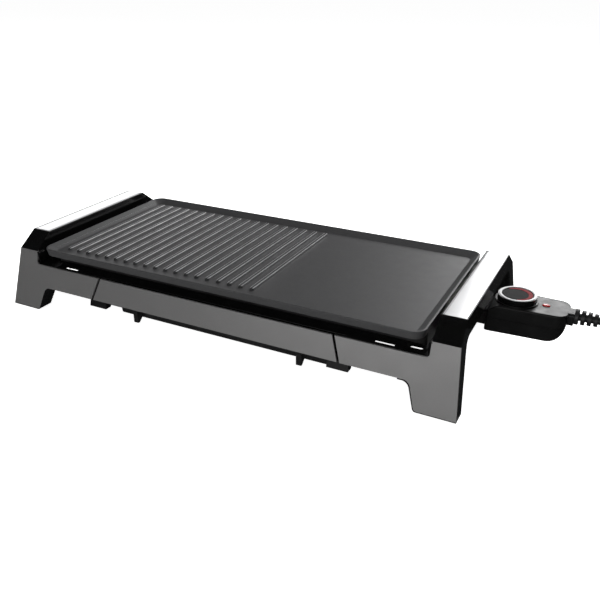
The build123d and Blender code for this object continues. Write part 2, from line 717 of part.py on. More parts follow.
with BuildPart() as tray_front_carrier:
    carrier_low = TRAY_RIM_Z
    with BuildSketch(Plane.XZ.offset(FOOT_Y + 5)):
        Polygon(
            (-SPLIT_TOP_X + 2, BEAM_TOP - 1),
            (SPLIT_TOP_X - 2, BEAM_TOP - 1),
            (SPLIT_BOTTOM_X - 3, carrier_low),
            (-SPLIT_BOTTOM_X + 3, carrier_low),
            align=None,
        )
    extrude(amount=-60)
    with BuildSketch(Plane.YZ.offset(-180)):
        Polygon(*front_sheet(PANEL, PANEL + 2.2, carrier_low, BEAM_TOP - 1), align=None)
    extrude(amount=360, mode=Mode.INTERSECT)
    # Foot flange on the tray's shelf, and gussets that brace the front.
    with Locations((0, -122, carrier_low + 0.8)):
        Box(250, 13, 1.6)
    for sx in (-110, -37, 37, 110):
        with BuildSketch(Plane.YZ.offset(sx - 1)):
            Polygon(
                (front_y(52, PANEL + 1), 52),
                (front_y(carrier_low, PANEL + 1), carrier_low),
                (-116, carrier_low),
                align=None,
            )
        extrude(amount=2)
    with Locations([(x, y, TRAY_RIM_Z) for x, y in TRAY_SCREWS]):
        Cylinder(SCREW_R, 6, mode=Mode.SUBTRACT)
save(tray_front_carrier.part, "tray_front_carrier")

with BuildPart() as tray_screws:
    for x, y in TRAY_SCREWS:
        with BuildSketch(Plane.XY.offset(TRAY_RIM_Z - TRAY_T)):
            with Locations((x, y)):
                Circle(SCREW_R)
        extrude(amount=TRAY_T + 1.6)
        with BuildSketch(Plane.XY.offset(TRAY_RIM_Z + 1.6)):
            with Locations((x, y)):
                Circle(3)
        extrude(amount=2)
        with Locations((x, y, TRAY_RIM_Z + 3.6)):
            Box(3.6, 0.8, 1.4, mode=Mode.SUBTRACT)
            Box(0.8, 3.6, 1.4, mode=Mode.SUBTRACT)
save(tray_screws.part, "tray_screws")

# ------------------------------------------------------------------ thermostat shells


def body_outline(inset):
    """Plan of the thermostat body, moved inwards by inset."""
    with BuildSketch(mode=Mode.PRIVATE) as plan:
        with BuildLine():
            Polyline(
                (BODY_NEAR_X + inset, -BODY_NEAR_Y + inset),
                (BODY_FAR_X - inset, -BODY_FAR_Y + inset),
                (BODY_FAR_X - inset, BODY_FAR_Y - inset),
                (BODY_NEAR_X + inset, BODY_NEAR_Y - inset),
                close=True,
            )
        make_face()
        far_corners = plan.vertices().group_by(Axis.X)[-1]
        fillet(far_corners, 11 - inset)
        near_corners = plan.vertices().group_by(Axis.X)[0]
        fillet(near_corners, 4 - inset)
    return plan.sketch


def body_side(inset):
    """Side view of the thermostat body, moved inwards by inset."""
    with BuildSketch(Plane.XZ.offset(40), mode=Mode.PRIVATE) as view:
        with BuildLine():
            Polyline(
                (BODY_NEAR_X, 71.3 - inset),
                (301.5, BODY_TOP - inset),
                (BODY_FAR_X - inset, BODY_TOP - inset),
                (BODY_FAR_X - inset, BODY_BOTTOM + inset),
                (BODY_NEAR_X, BODY_BOTTOM + inset),
                close=True,
            )
        make_face()
        fillet(view.vertices().sort_by_distance((BODY_FAR_X, BODY_BOTTOM))[0], 19 - inset)
        fillet(view.vertices().sort_by_distance((301.5, BODY_TOP))[0], 8)
    return view.sketch


with BuildPart() as body_form:
    with BuildSketch(Plane.XY.offset(BODY_BOTTOM)):
        add(body_outline(0))
    extrude(amount=BODY_TOP - BODY_BOTTOM)
    extrude(to_extrude=body_side(0), amount=-80, mode=Mode.INTERSECT)
    fillet(body_form.edges().group_by(Axis.Z)[-1], 1.6)

with BuildPart() as body_room:
    with BuildSketch(Plane.XY.offset(BODY_BOTTOM)):
        add(body_outline(BODY_SKIN))
    extrude(amount=BODY_TOP - BODY_BOTTOM)
    extrude(to_extrude=body_side(BODY_SKIN), amount=-80, mode=Mode.INTERSECT)

NOSE_MID_Z = (NOSE_LOW + NOSE_HIGH) / 2
SHELL_SCREWS = [(299.0, -17.0), (299.0, 17.0), (360.0, -13.5), (360.0, 13.5)]
COLLAR_R = 22.5

with BuildPart() as nose_form:
    with BuildSketch(Plane.YZ.offset(NOSE_X)):
        with Locations((0, NOSE_MID_Z)):
            RectangleRounded(2 * NOSE_Y, NOSE_HIGH - NOSE_LOW, 3)
    extrude(amount=BODY_NEAR_X + BODY_SKIN - NOSE_X)

with BuildPart() as nose_room:
    with BuildSketch(Plane.YZ.offset(NOSE_X + 2)):
        with Locations((0, NOSE_MID_Z)):
            RectangleRounded(2 * NOSE_Y - 3.6, NOSE_HIGH - NOSE_LOW - 3.6, 1.5)
    extrude(amount=BODY_NEAR_X + BODY_SKIN + 1 - NOSE_X)

with BuildPart() as neck_form:
    with BuildSketch(Plane.YZ.offset(BODY_FAR_X - 4)):
        with Locations((0, 72.4)):
            RectangleRounded(19, 13.6, 3)
    extrude(amount=RELIEF_X - BODY_FAR_X + 4)

with BuildPart() as screw_posts:
    # Posts for the screws that hold the shells together.
    with BuildSketch(Plane.XY.offset(BODY_BOTTOM)):
        with Locations(SHELL_SCREWS):
            Circle(3.4)
    extrude(amount=BODY_TOP - 1.5 - BODY_BOTTOM)
    add(body_form.part, mode=Mode.INTERSECT)

with BuildPart() as full_shell:
    add(body_form.part)
    add(nose_form.part)
    add(neck_form.part)
    add(body_room.part, mode=Mode.SUBTRACT)
    add(nose_room.part, mode=Mode.SUBTRACT)
    # Bores in the nose face for the two sockets and the probe.
    with BuildSketch(Plane.YZ.offset(NOSE_X - 1)):
        with Locations((-PIN_Y, HEATER_Z), (PIN_Y, HEATER_Z)):
            Circle(PIN_R + 0.6)
        with Locations((0, HEATER_Z)):
            Circle(3.2)
    extrude(amount=8, mode=Mode.SUBTRACT)
    # Hole for the strain relief's root.
    with BuildSketch(Plane.YZ.offset(BODY_FAR_X - 8)):
        with Locations((0, RELIEF_Z)):
            Circle(RELIEF_CORE_R)
    extrude(amount=20, mode=Mode.SUBTRACT)
    add(screw_posts.part)
    with BuildSketch(Plane.XY.offset(BODY_BOTTOM - 1)):
        with Locations(SHELL_SCREWS):
            Circle(1.3)
    extrude(amount=24, mode=Mode.SUBTRACT)
    with BuildSketch(Plane.XY.offset(BODY_BOTTOM - 1)):
        with Locations(SHELL_SCREWS):
            Circle(2.4)
    extrude(amount=6, mode=Mode.SUBTRACT)

with BuildPart() as controller_lower_shell:
    add(full_shell.part)
    split(bisect_by=Plane.XY.offset(BODY_SPLIT - 0.15), keep=Keep.BOTTOM)
save(controller_lower_shell.part, "controller_lower_shell")

with BuildPart() as controller_upper_shell:
    add(full_shell.part)
    split(bisect_by=Plane.XY.offset(BODY_SPLIT + 0.15), keep=Keep.TOP)
    # Raised ring that the dial turns in, the spindle's bearing and the lens seat.
    with BuildSketch(Plane.XY.offset(BODY_TOP - 1)):
        with Locations((DIAL_X, 0)):
            Circle(COLLAR_R)
            Circle(COLLAR_R - 1.6, mode=Mode.SUBTRACT)
    extrude(amount=2.6)
    with BuildSketch(Plane.XY.offset(BODY_TOP - 8)):
        with Locations((DIAL_X, 0)):
            Circle(5.2)
    extrude(amount=8)
    with Locations((DIAL_X, 0, BODY_TOP)):
        Cylinder(3.06, 30, mode=Mode.SUBTRACT)
    with BuildSketch(Plane.XY.offset(BODY_TOP - 5)):
        with Locations((LENS_X, 0)):
            Ellipse(4.2, 2.4)
    extrude(amount=8, mode=Mode.SUBTRACT)
save(controller_upper_shell.part, "controller_upper_shell")

with BuildPart() as shell_screws:
    for x, y in SHELL_SCREWS:
        with BuildSketch(Plane.XY.offset(BODY_BOTTOM + 5 - 2)):
            with Locations((x, y)):
                Circle(2.35)
        extrude(amount=2)
        with BuildSketch(Plane.XY.offset(BODY_BOTTOM + 5)):
            with Locations((x, y)):
                Circle(1.3)
        extrude(amount=16)
        with Locations((x, y, BODY_BOTTOM + 3)):
            Box(3, 0.7, 1.4, mode=Mode.SUBTRACT)
            Box(0.7, 3, 1.4, mode=Mode.SUBTRACT)
save(shell_screws.part, "shell_screws")


# ------------------------------------------------------------------ inside the thermostat
with BuildPart() as sensing_probe:
    with BuildSketch(Plane.YZ.offset(166)):
        with Locations((0, HEATER_Z)):
            Circle(PROBE_R)
    extrude(amount=286 - 166)
    fillet(sensing_probe.edges().group_by(Axis.X)[0], 2.2)
save(sensing_probe.part, "sensing_probe")

with BuildPart() as socket_contacts:
    with BuildSketch(Plane.YZ.offset(NOSE_X + 2.4)):
        with Locations((-PIN_Y, HEATER_Z), (PIN_Y, HEATER_Z)):
            Circle(4.2)
            Circle(PIN_R + 0.35, mode=Mode.SUBTRACT)
    extrude(amount=20)
    with BuildSketch(Plane.YZ.offset(NOSE_X + 22.4)):
        with Locations((-PIN_Y, HEATER_Z), (PIN_Y, HEATER_Z)):
            Circle(4.2)
    extrude(amount=2)
save(socket_contacts.part, "socket_contacts")

with BuildPart() as contact_carrier:
    with BuildSketch(Plane.YZ.offset(NOSE_X + 24.6)):
        with Locations((0, HEATER_Z)):
            RectangleRounded(36, 12, 2)
            Circle(3.2, mode=Mode.SUBTRACT)
    extrude(amount=5)
save(contact_carrier.part, "contact_carrier")

FRAME_NEAR_X = 294.0
FRAME_FAR_X = 340.0
FRAME_Z = 54.0
FRAME_T = 1.2

with BuildPart() as thermostat_frame:
    with BuildSketch(Plane.XZ.offset(9)):
        Polygon(
            (FRAME_NEAR_X, FRAME_Z),
            (FRAME_FAR_X, FRAME_Z),
            (FRAME_FAR_X, FRAME_Z + 14),
            (FRAME_FAR_X - FRAME_T, FRAME_Z + 14),
            (FRAME_FAR_X - FRAME_T, FRAME_Z + FRAME_T),
            (FRAME_NEAR_X, FRAME_Z + FRAME_T),
            align=None,
        )
    extrude(amount=-18)
save(thermostat_frame.part, "thermostat_frame")

with BuildPart() as bimetal_blade:
    with Locations((312, 0, 58.2)):
        Box(44, 7, 0.8)
    with Locations((332, 0, 56.5)):
        Box(6, 7, 2.6)
save(bimetal_blade.part, "bimetal_blade")

with BuildPart() as contact_blade:
    with Locations((314, 0, 61.6)):
        Box(40, 6, 0.6)
    with Locations((330, 0, 59.95)):
        Box(6, 6, 2.7)
save(contact_blade.part, "contact_blade")

with BuildPart() as contact_points:
    with BuildSketch(Plane.XY.offset(58.6)):
        with Locations((297, 0)):
            Circle(2)
    extrude(amount=1.2)
    with BuildSketch(Plane.XY.offset(60.1)):
        with Locations((297, 0)):
            Circle(2)
    extrude(amount=1.2)
save(contact_points.part, "contact_points")

with BuildPart() as neon_lamp:
    with BuildSketch(Plane.XY.offset(66)):
        with Locations((LENS_X, 0)):
            Circle(2.2)
    extrude(amount=7.4)
    fillet(neon_lamp.edges().group_by(Axis.Z)[-1], 1.6)
save(neon_lamp.part, "neon_lamp")

with BuildPart() as indicator_lens:
    with BuildSketch(Plane.XY.offset(BODY_TOP - 3.5)):
        with Locations((LENS_X, 0)):
            Ellipse(4.15, 2.35)
    extrude(amount=4.9)
    fillet(indicator_lens.edges().group_by(Axis.Z)[-1], 1.2)
save(indicator_lens.part, "indicator_lens")

with BuildPart() as cord_clamp:
    with Locations((355, 0, 68.6)):
        Box(6, 20, 2)
    with Locations((355, -8.5, 63.5)):
        Box(6, 3, 8.4)
    with Locations((355, 8.5, 63.5)):
        Box(6, 3, 8.4)
save(cord_clamp.part, "cord_clamp")


with BuildPart() as internal_leads:
    for sy in (-1, 1):
        with BuildLine() as lead_path:
            FilletPolyline(
                (NOSE_X + 29.8, sy * PIN_Y, HEATER_Z - 2),
                (NOSE_X + 38, sy * 11.4, 57.5),
                (342, sy * 11.4, 57.5),
                (347, sy * 4, 62),
                radius=3,
            )
        with BuildSketch(Plane(origin=lead_path.wire() @ 0, z_dir=lead_path.wire() % 0)):
            Circle(1.1)
        sweep()
save(internal_leads.part, "internal_leads")


# ------------------------------------------------------------------ dial
KNURLS = 60

with BuildPart() as dial_knob:
    with BuildSketch(Plane.XY.offset(BODY_TOP + 0.5)):
        with Locations((DIAL_X, 0)):
            Circle(DIAL_R)
    extrude(amount=DIAL_TOP - 0.6 - BODY_TOP - 0.5)
    with BuildSketch(Plane.XY.offset(BODY_TOP + 0.5)):
        with Locations((DIAL_X, 0)):
            with PolarLocations(DIAL_R + 0.15, KNURLS):
                Circle(0.45)
    extrude(amount=DIAL_TOP - 1.6 - BODY_TOP - 0.5, mode=Mode.SUBTRACT)
    # Hollow under the knob, around its hub.
    with BuildSketch(Plane.XY.offset(BODY_TOP + 0.5)):
        with Locations((DIAL_X, 0)):
            Circle(DIAL_R - 2.4)
            Circle(6, mode=Mode.SUBTRACT)
    extrude(amount=3.6, mode=Mode.SUBTRACT)
    # Seat for the ring and the dial insert.
    with BuildSketch(Plane.XY.offset(DIAL_TOP - 1.8)):
        with Locations((DIAL_X, 0)):
            Circle(DIAL_R - 0.5)
    extrude(amount=3, mode=Mode.SUBTRACT)
    with Locations((DIAL_X, 0, BODY_TOP)):
        Cylinder(3, 8, mode=Mode.SUBTRACT)
save(dial_knob.part, "dial_knob")

with BuildPart() as dial_ring:
    with BuildSketch(Plane.XY.offset(DIAL_TOP - 1.8)):
        with Locations((DIAL_X, 0)):
            Circle(DIAL_R - 0.5)
            Circle(16.6, mode=Mode.SUBTRACT)
    extrude(amount=1.8)
    fillet(dial_ring.edges().group_by(Axis.Z)[-1], 0.7)
save(dial_ring.part, "dial_ring")

with BuildPart() as dial_insert:
    with BuildSketch(Plane.XY.offset(DIAL_TOP - 1.8)):
        with Locations((DIAL_X, 0)):
            Circle(16.6)
    extrude(amount=1.0)
save(dial_insert.part, "dial_insert")

with BuildPart() as dial_spindle:
    with BuildSketch(Plane.XY.offset(BODY_TOP - 16.6)):
        with Locations((DIAL_X, 0)):
            Circle(3)
    extrude(amount=20.6)
    # Cam that presses on the contact blade.
    with BuildSketch(Plane.XY.offset(BODY_TOP - 16.6)):
        with Locations((DIAL_X, 0)):
            Circle(5)
        with Locations((DIAL_X + 2, 0)):
            Circle(4.4)
    extrude(amount=2.5)
save(dial_spindle.part, "dial_spindle")


# ------------------------------------------------------------------ strain relief and lead
RELIEF_RINGS = 7
RELIEF_PITCH = 6.3


def relief_radius(x):
    """Outer radius of the strain relief at x."""
    return 8.4 + (5.0 - 8.4) * (x - RELIEF_X) / (RELIEF_END_X - RELIEF_X)


with BuildPart() as strain_relief:
    # Sleeve with a root inside the housing.
    with BuildSketch(Plane.XZ):
        with BuildLine():
            Polyline(
                (BODY_FAR_X - 2, RELIEF_Z),
                (BODY_FAR_X - 2, RELIEF_Z + RELIEF_CORE_R),
                (RELIEF_END_X, RELIEF_Z + RELIEF_CORE_R),
                (RELIEF_END_X, RELIEF_Z),
                close=True,
            )
        make_face()
    revolve(axis=Axis((0, 0, RELIEF_Z), (1, 0, 0)))
    for ring in range(RELIEF_RINGS):
        ring_x = RELIEF_X + ring * RELIEF_PITCH
        with BuildSketch(Plane.YZ.offset(ring_x)):
            with Locations((0, RELIEF_Z)):
                Circle(relief_radius(ring_x))
        extrude(amount=3.7)
    # Webs that join neighbouring rings, by turns at the sides and at top and bottom.
    for ring in range(RELIEF_RINGS - 1):
        web_x = RELIEF_X + ring * RELIEF_PITCH + 3.6
        web_r = relief_radius(web_x + 3)
        with BuildSketch(Plane.YZ.offset(web_x)):
            with Locations((0, RELIEF_Z)):
                if ring % 2:
                    Rectangle(2 * web_r, 3)
                else:
                    Rectangle(3, 2 * web_r)
        extrude(amount=RELIEF_PITCH - 3.5)
save(strain_relief.part, "strain_relief")

PLUG_X = 441.5
PLUG_REAR_Y = -8.0
PLUG_R = 18.5

LEAD_IN = [
    (RELIEF_END_X, 0, RELIEF_Z),
    (449, 0, 73.0),
    (475, -1.5, 65.0),
    (498, -6, 50.0),
    (517, -14, 33.0),
    (531, -26, 18.0),
    (539.5, -40, 8.6),
    (543.0, -55, 4.4),
    (COIL_X + COIL_OUTER_R, COIL_Y, LEAD_D / 2),
]
TAIL = [
    (COIL_X - COIL_OUTER_R, COIL_Y, 1.5 * LEAD_D),
    (443.2, -49, 11.2),
    (442.0, -28, 14.8),
    (PLUG_X, PLUG_REAR_Y, PLUG_R),
]


def corner_radii(points):
    """Radius of the arc at each inner point: 0.45 of the shorter run, over tan(half turn)."""
    radii = []
    for before, here, after in zip(points, points[1:], points[2:]):
        run_in = Vector(*here) - Vector(*before)
        run_out = Vector(*after) - Vector(*here)
        turn = radians(run_in.get_angle(run_out))
        radii.append(0.45 * min(run_in.length, run_out.length) / tan(turn / 2))
    return radii


def lead_tube(points, name):
    radii = corner_radii(points)
    print(name, "radii", [round(r, 1) for r in radii])
    start = Vector(*points[0])
    with BuildPart() as tube:
        with BuildLine() as route:
            FilletPolyline(*points, radius=radii)
        with BuildSketch(Plane(origin=start, z_dir=Vector(*points[1]) - start)):
            Circle(LEAD_D / 2)
        sweep()
    length = route.wire().length
    expected = pi * (LEAD_D / 2) ** 2 * length
    print(name, "length", round(length, 1), "volume over section x length", tube.part.volume / expected)
    return tube.part


save(lead_tube(LEAD_IN, "lead_in"), "mains_lead")
save(lead_tube(TAIL, "tail"), "mains_lead_tail")

COIL_INNER_R = COIL_OUTER_R - COIL_TURNS * COIL_TURN_GAP
COIL_MID_R = (COIL_OUTER_R + COIL_INNER_R) / 2
COIL_WIDE = COIL_OUTER_R - COIL_INNER_R + LEAD_D

with BuildPart() as lead_coil:
    with BuildSketch(Plane.XZ.offset(-COIL_Y)) as section:
        with Locations((COIL_X + COIL_MID_R, COIL_HIGH / 2)):
            RectangleRounded(COIL_WIDE, COIL_HIGH, 3.2)
    revolve(axis=Axis((COIL_X, COIL_Y, 0), (0, 0, 1)))
save(lead_coil.part, "lead_coil")

TIE_ARC = 12.0
TIE_T = 0.8
TIE_ANGLE = 90.0  # where the tie sits on the coil, from +X
tie_start = Plane.XZ.rotated((0, 0, TIE_ANGLE - TIE_ARC / 2)).offset(0)
tie_start.origin = Vector(COIL_X, COIL_Y, 0)

with BuildPart() as coil_tie:
    with BuildSketch(tie_start):
        with Locations((COIL_MID_R, (COIL_HIGH + TIE_T) / 2)):
            RectangleRounded(COIL_WIDE + 2 * TIE_T, COIL_HIGH + TIE_T, 3.4)
        with Locations((COIL_MID_R, COIL_HIGH / 2)):
            RectangleRounded(COIL_WIDE, COIL_HIGH, 3.2, mode=Mode.SUBTRACT)
        with Locations((COIL_MID_R, 2)):
            Rectangle(COIL_WIDE + 2, 4, mode=Mode.SUBTRACT)
    revolve(axis=Axis((COIL_X, COIL_Y, 0), (0, 0, 1)), revolution_arc=TIE_ARC)
save(coil_tie.part, "coil_tie")

# ------------------------------------------------------------------ mains plug
PLUG_FACE_Y = PLUG_REAR_Y + 56.0
PLUG_PIN_SPACING = 19.0
PLUG_PIN_R = 2.4

with BuildPart() as plug_body:
    # Round plug for an earthed socket: face, finger waist and a sleeve for the lead.
    with BuildSketch(Plane.XY.offset(PLUG_R)):
        with BuildLine():
            Polyline(
                (PLUG_X, PLUG_FACE_Y),
                (PLUG_X + PLUG_R - 0.8, PLUG_FACE_Y),
                (PLUG_X + PLUG_R, PLUG_FACE_Y - 0.8),
                (PLUG_X + PLUG_R, PLUG_FACE_Y - 17),
                (PLUG_X + PLUG_R - 3, PLUG_FACE_Y - 21),
                (PLUG_X + 9, PLUG_FACE_Y - 33),
                (PLUG_X + 6, PLUG_FACE_Y - 42),
                (PLUG_X + 4.6, PLUG_REAR_Y),
                (PLUG_X, PLUG_REAR_Y),
                close=True,
            )
        make_face()
    revolve(axis=Axis((PLUG_X, 0, PLUG_R), (0, 1, 0)))
    # Slots at the sides for the earth contacts.
    for sx in (-1, 1):
        with Locations((PLUG_X + sx * (PLUG_R + 1.4), PLUG_FACE_Y - 8, PLUG_R)):
            Box(6, 18, 6.5, mode=Mode.SUBTRACT)
save(plug_body.part, "plug_body")

with BuildPart() as plug_pins:
    with BuildSketch(Plane.XZ.offset(-PLUG_FACE_Y - 19)):
        with Locations([(PLUG_X + sx * PLUG_PIN_SPACING / 2, PLUG_R) for sx in (-1, 1)]):
            Circle(PLUG_PIN_R)
    extrude(amount=19)
    fillet(plug_pins.edges().group_by(Axis.Y)[-1], 1.4)
save(plug_pins.part, "plug_pins")

with BuildPart() as plug_earth_contacts:
    for sx in (-1, 1):
        with Locations((PLUG_X + sx * (PLUG_R - 1.2), PLUG_FACE_Y - 8, PLUG_R)):
            Box(0.8, 17.6, 4.2)
save(plug_earth_contacts.part, "plug_earth_contacts")
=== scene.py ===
"""Electric griddle: finishes, lead, dial details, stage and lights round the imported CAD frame."""
import json
import math

import bmesh
import bpy
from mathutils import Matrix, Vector


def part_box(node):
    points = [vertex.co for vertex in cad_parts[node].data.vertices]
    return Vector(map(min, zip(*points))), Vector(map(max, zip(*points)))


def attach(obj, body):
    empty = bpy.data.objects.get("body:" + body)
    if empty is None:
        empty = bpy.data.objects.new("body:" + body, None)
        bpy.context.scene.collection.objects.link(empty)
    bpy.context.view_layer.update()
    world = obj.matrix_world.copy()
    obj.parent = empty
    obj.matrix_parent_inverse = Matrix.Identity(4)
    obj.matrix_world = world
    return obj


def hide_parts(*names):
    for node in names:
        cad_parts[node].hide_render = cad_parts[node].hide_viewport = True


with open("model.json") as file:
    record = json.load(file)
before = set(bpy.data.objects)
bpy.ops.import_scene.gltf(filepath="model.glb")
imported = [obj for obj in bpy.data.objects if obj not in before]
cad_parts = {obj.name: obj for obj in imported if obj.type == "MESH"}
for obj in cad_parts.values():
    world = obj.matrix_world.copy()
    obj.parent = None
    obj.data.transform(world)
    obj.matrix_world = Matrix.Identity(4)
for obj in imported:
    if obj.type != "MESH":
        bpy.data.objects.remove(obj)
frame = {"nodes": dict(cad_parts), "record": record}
NODES = frame["nodes"]
SUBPARTS = {part["node"]: part["material_slot"] for part in frame["record"]["subparts"]}
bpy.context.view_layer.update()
MM = 0.001


# ------------------------------------------------------------------ camera
CAMERA_PLACE = (0.41429, -0.70569, 0.40543)
CAMERA_AZIMUTH = 26.9433
CAMERA_ELEVATION = 25.842
CAMERA_LENS_MM = 41.63
CAMERA_SENSOR_MM = 36.0
CAMERA_NEAREST = 0.02


def make_camera():
    data = bpy.data.cameras.new("camera")
    data.lens = CAMERA_LENS_MM
    data.sensor_width = CAMERA_SENSOR_MM
    data.clip_start = CAMERA_NEAREST
    camera = bpy.data.objects.new("camera", data)
    camera.location = CAMERA_PLACE
    camera.rotation_euler = (math.radians(90 - CAMERA_ELEVATION), 0, math.radians(CAMERA_AZIMUTH))
    bpy.context.scene.collection.objects.link(camera)
    bpy.context.scene.camera = camera


# ------------------------------------------------------------------ mesh helpers
def add_mesh(name, bm, body):
    """A new flat-shaded object from bm, in millimetres, that rides on a body."""
    bmesh.ops.recalc_face_normals(bm, faces=bm.faces)
    for vertex in bm.verts:
        vertex.co = vertex.co * MM
    mesh = bpy.data.meshes.new(name)
    bm.to_mesh(mesh)
    bm.free()
    piece = bpy.data.objects.new(name, mesh)
    bpy.context.scene.collection.objects.link(piece)
    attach(piece, body)
    return piece


def turn_about_x(bm, outline, axis_z, steps):
    """Turns a closed outline of (radius, x) points about the line y = 0, z = axis_z."""
    rings = []
    for step in range(steps):
        angle = math.tau * step / steps
        ring = [
            bm.verts.new((x, radius * math.cos(angle), axis_z + radius * math.sin(angle)))
            for radius, x in outline
        ]
        rings.append(ring)
    for ring, following in zip(rings, rings[1:] + rings[:1]):
        for i in range(len(outline)):
            j = (i + 1) % len(outline)
            bm.faces.new((ring[i], following[i], following[j], ring[j]))


# ------------------------------------------------------------------ mains lead
LEAD_D = 7.0
COIL_X = 493.0
COIL_Y = -70.0
COIL_OUTER_R = 49.5
COIL_TURNS = 2.75
COIL_TURN_GAP = 7.0
TURN_POINTS = 16
ROUTE_STEPS = 6
TUBE_STEPS = 6
LEAD_IN = [
    (424.0, 0, 73.8),
    (449.0, 0, 73.0),
    (475.0, -1.5, 65.0),
    (498.0, -6.0, 50.0),
    (517.0, -14.0, 33.0),
    (531.0, -26.0, 18.0),
    (539.5, -40.0, 8.6),
    (543.0, -55.0, 4.4),
]
TAIL = [
    (443.2, -49.0, 11.2),
    (442.0, -28.0, 14.8),
    (441.5, -8.0, 18.5),
]


def coil_points():
    """Two flat layers of turns: inwards on the table, then outwards on top of them.

    The spline's line nearest a control point is three quarters that point and one quarter
    its neighbours, so the points lie a little outside the turns.
    """
    polygon_gain = 1 / (0.75 + 0.25 * math.cos(math.tau / TURN_POINTS))
    layer_steps = round(COIL_TURNS * TURN_POINTS)
    points = []
    for step in range(1, 2 * layer_steps):
        inwards = min(step, 2 * layer_steps - step)
        radius = (COIL_OUTER_R - COIL_TURN_GAP * inwards / TURN_POINTS) * polygon_gain
        angle = -math.tau * step / TURN_POINTS
        # 0 on the lower layer, 0.5 at the middle point and 1 on the upper layer.
        climb = min(max((step - layer_steps + 1) / 2, 0), 1)
        height = LEAD_D * (0.5 + climb)
        x = COIL_X + radius * math.cos(angle)
        y = COIL_Y + radius * math.sin(angle)
        points.append((x, y, height))
    return points


def curve_mesh(curve_object):
    """The curve as Blender evaluates it: its line where it has no bevel, its tube where it has one."""
    graph = bpy.context.evaluated_depsgraph_get()
    return bpy.data.meshes.new_from_object(curve_object.evaluated_get(graph))


def make_lead():
    """The lead as a mesh tube round a spline, which goes once the tube is made."""
    curve = bpy.data.curves.new("mains_lead_route", "CURVE")
    curve.dimensions = "3D"
    points = LEAD_IN + coil_points() + TAIL
    spline = curve.splines.new("NURBS")
    spline.points.add(len(points) - 1)
    for point, (x, y, z) in zip(spline.points, points):
        point.co = (x * MM, y * MM, z * MM, 1)
    spline.order_u = 3
    spline.use_endpoint_u = True
    spline.resolution_u = ROUTE_STEPS
    route = bpy.data.objects.new("mains_lead_route", curve)
    bpy.context.scene.collection.objects.link(route)
    path = [tuple(vertex.co) for vertex in curve_mesh(route).vertices]
    curve.bevel_depth = LEAD_D / 2 * MM
    curve.bevel_resolution = TUBE_STEPS
    curve.use_fill_caps = True
    bpy.context.view_layer.update()
    sheath = curve_mesh(route)
    bpy.data.objects.remove(route)
    for polygon in sheath.polygons:
        polygon.use_smooth = True
    lead = bpy.data.objects.new("lead_sheath", sheath)
    bpy.context.scene.collection.objects.link(lead)
    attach(lead, "thermostat")
    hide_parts("mains_lead", "mains_lead_tail", "lead_coil")
    return lead


make_camera()
lead = make_lead()


# ------------------------------------------------------------------ shader helper
NOISE_RANGE = (0.3, 0.7)


